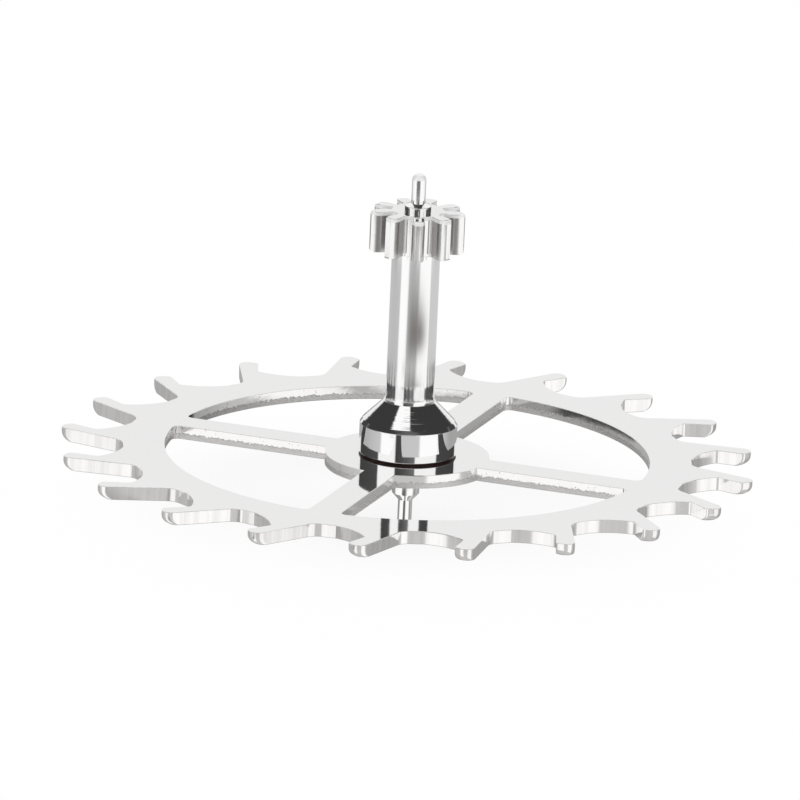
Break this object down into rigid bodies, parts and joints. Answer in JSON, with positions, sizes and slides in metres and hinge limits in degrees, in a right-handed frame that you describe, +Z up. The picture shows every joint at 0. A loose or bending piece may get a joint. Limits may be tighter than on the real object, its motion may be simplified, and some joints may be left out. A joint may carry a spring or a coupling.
{
  "type": "escape wheel",
  "caption": "Club-tooth escape wheel for a watch movement, riveted to a coned collet on a one-piece arbor with cut pinion leaves and turned pivots.",
  "frame": {"origin": "tip of the lower pivot, on the arbor axis", "axes": "+Z up the arbor from the lower pivot to the top pivot, +X along one arm of the wheel"},
  "size_m": [0.0054, 0.0054, 0.0029],
  "materials": {
    "wheel_steel": "polished",
    "collet_steel": "polished",
    "pinion_steel": "polished"
  },
  "bodies": {
    "root": {"escape_wheel": "wheel_steel", "wheel_collet": "collet_steel", "escape_pinion": "pinion_steel"}
  },
  "joints": []
}
